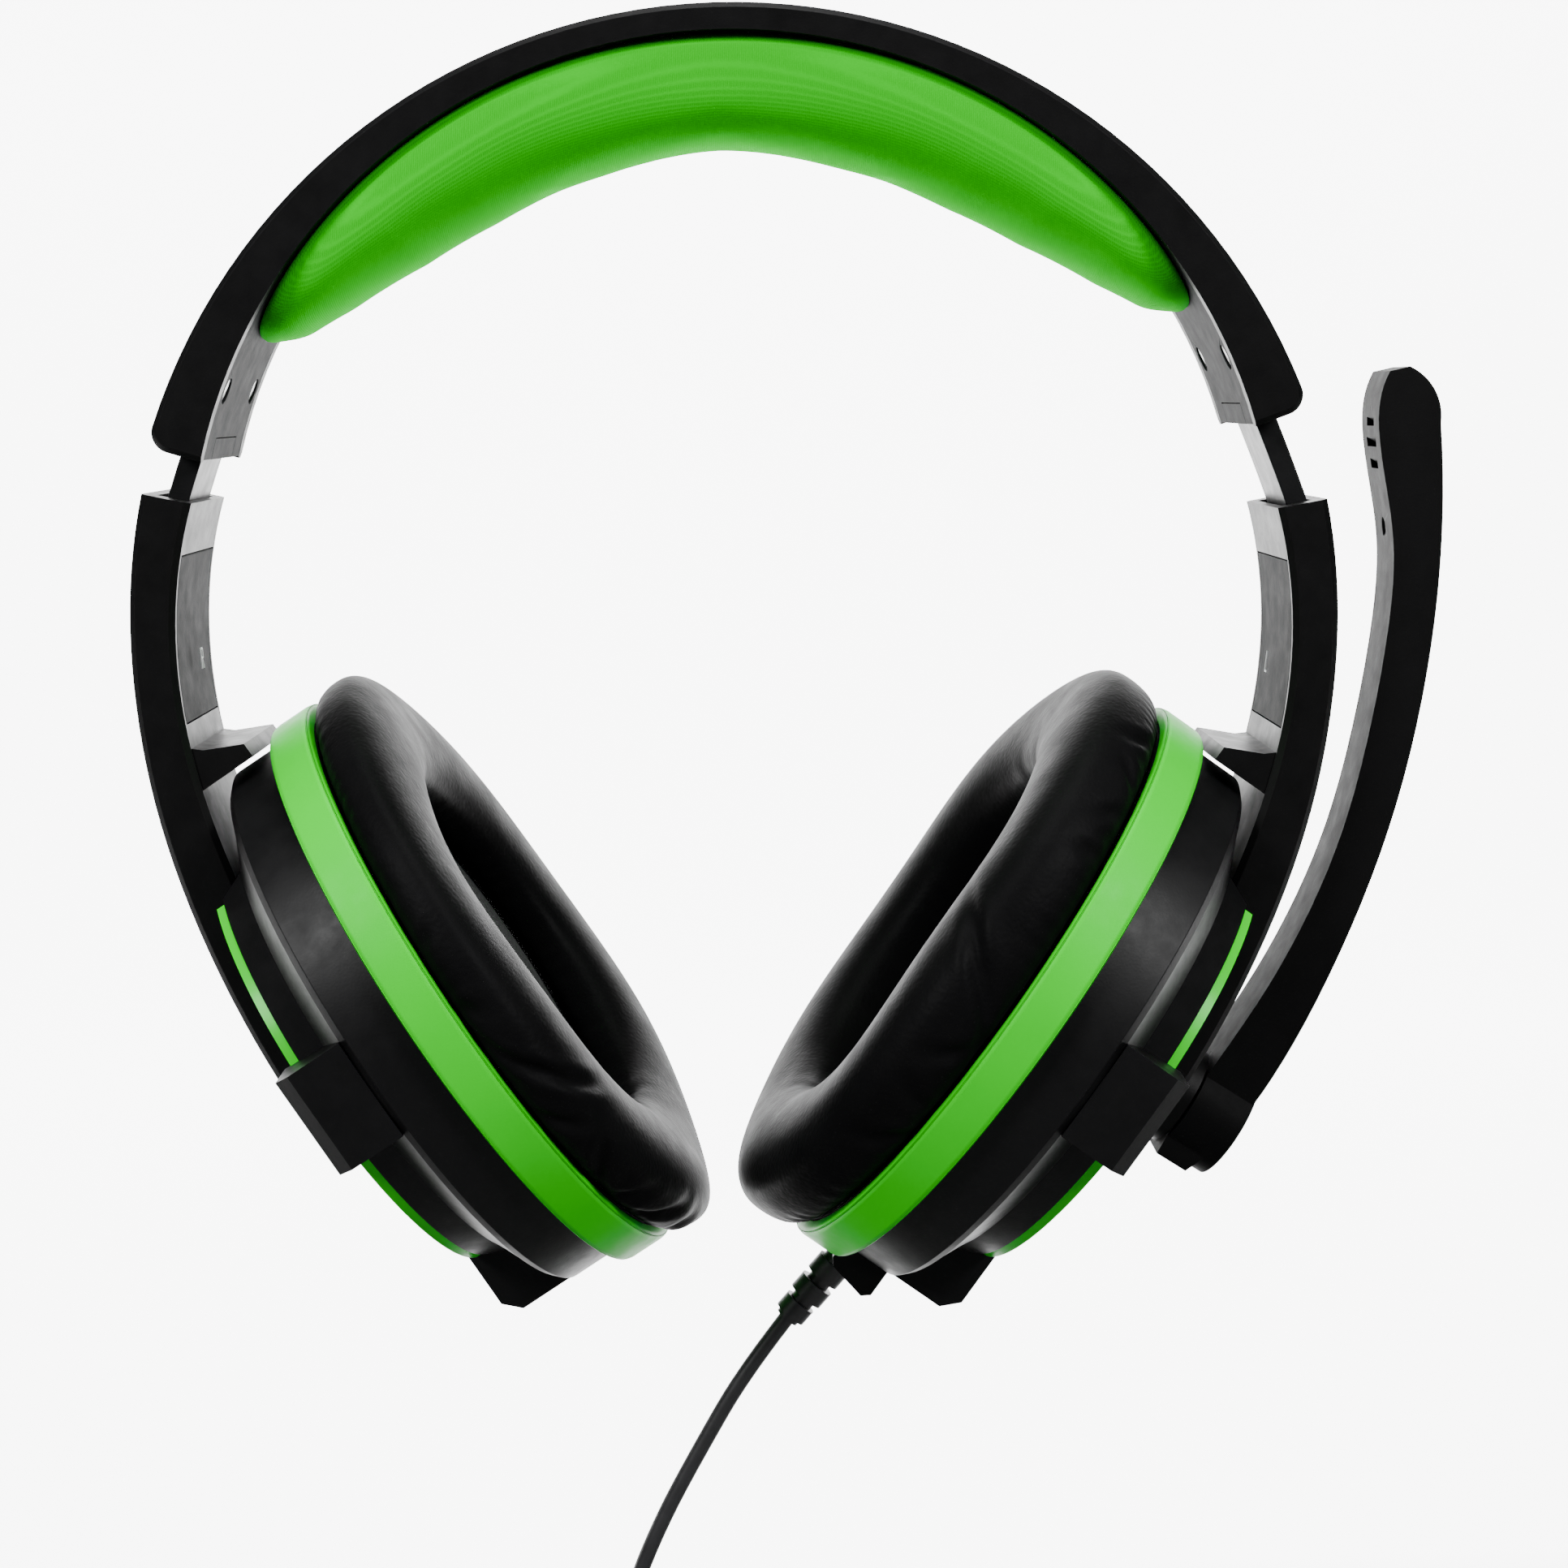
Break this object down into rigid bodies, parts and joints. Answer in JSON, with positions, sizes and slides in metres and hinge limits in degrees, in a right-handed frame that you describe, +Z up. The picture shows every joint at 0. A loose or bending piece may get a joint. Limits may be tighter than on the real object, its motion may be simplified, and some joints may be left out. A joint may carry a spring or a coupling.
{
  "type": "gaming headset",
  "caption": "Over-ear headset: padded headband, sliding arms, tilting ear cups with leather cushions, swing-up microphone boom and corded jack plug.",
  "frame": {"origin": "middle of the headband pad's underside, where it rests on the crown of the head", "axes": "+Z up through the headband, +X towards the wearer's left (the microphone side), -Y towards the wearer's front"},
  "size_m": [0.1973, 0.0988, 0.333],
  "materials": {
    "pad_fabric": "fine woven fabric, green",
    "green_gloss": "smooth green plastic",
    "cushion_leather": "soft black protein leather",
    "speaker_cloth": "black acoustic cloth",
    "steel": "plain steel",
    "cord_rubber": "black soft jacket",
    "plug_gold": "gold plated",
    "black_gloss": "smooth black plastic",
    "wire_jacket": "thin black jacket",
    "board": "green circuit board",
    "diaphragm": "thin film",
    "black_grained": "fine moulded grain, black",
    "black_satin": "satin black plastic"
  },
  "bodies": {
    "headband": {"headband_shell": "black_satin", "headband_spring_steel": "steel", "crossover_wire": "wire_jacket", "pad_base": "black_satin", "headband_pad": "pad_fabric", "right_end_cover": "black_grained", "left_end_cover": "black_grained", "right_slider_clip": "steel", "left_slider_clip": "steel", "end_cover_screws": "steel"},
    "right_arm": {"right_slider_strip": "black_grained", "right_arm_shell": "black_satin", "right_arm_inner_cover": "black_grained"},
    "right_cup": {"right_cup_housing": "black_satin", "right_trim_ring": "green_gloss", "right_outer_disc": "black_satin", "right_accent_line": "green_gloss", "right_tilt_pin": "steel", "right_cup_screws": "steel", "right_baffle": "black_satin", "right_driver_frame": "black_satin", "right_driver_magnet": "steel", "right_driver_diaphragm": "diaphragm", "right_speaker_cloth": "speaker_cloth", "right_ear_cushion": "cushion_leather"},
    "left_arm": {"left_slider_strip": "black_grained", "left_arm_shell": "black_satin", "left_arm_inner_cover": "black_grained", "mic_pivot_pin": "steel"},
    "left_cup": {"left_cup_housing": "black_satin", "left_trim_ring": "green_gloss", "left_outer_disc": "black_satin", "left_accent_line": "green_gloss", "left_tilt_pin": "steel", "left_cup_screws": "steel", "left_baffle": "black_satin", "left_driver_frame": "black_satin", "left_driver_magnet": "steel", "left_driver_diaphragm": "diaphragm", "left_speaker_cloth": "speaker_cloth", "left_ear_cushion": "cushion_leather", "junction_board": "board", "cable_boss": "black_satin", "strain_relief": "cord_rubber", "cord_lead": "cord_rubber", "cord_coil": "cord_rubber", "cord_tie": "cord_rubber", "cord_tail": "cord_rubber", "plug_body": "black_gloss", "plug_pin": "plug_gold"},
    "mic_boom": {"mic_boom_front_shell": "black_satin", "mic_boom_rear_shell": "black_satin", "mic_capsule": "steel", "mic_foam": "speaker_cloth"}
  },
  "joints": [
    {"name": "right_slide", "type": "hinge", "parent": "headband", "child": "right_arm", "pos_m": [0.20019, 0, -0.15155], "axis": [0, -1, 0], "range_deg": [-1.13, 3.46]},
    {"name": "right_cup_tilt", "type": "hinge", "parent": "right_arm", "child": "right_cup", "pos_m": [-0.05826, 0, -0.13607], "axis": [0, -1, 0], "range_deg": [-8.55, 1.95]},
    {"name": "left_slide", "type": "hinge", "parent": "headband", "child": "left_arm", "pos_m": [-0.20019, 0, -0.15155], "axis": [0, 1, 0], "range_deg": [-2.36, 2.23]},
    {"name": "left_cup_tilt", "type": "hinge", "parent": "left_arm", "child": "left_cup", "pos_m": [0.05302, 0, -0.14035], "axis": [0, 1, 0], "range_deg": [-9.45, 1.05]},
    {"name": "mic_swing", "type": "hinge", "parent": "left_arm", "child": "mic_boom", "pos_m": [0.06708, 0, -0.14904], "axis": [0.8281, 0, -0.5606], "range_deg": [0, 130]}
  ]
}
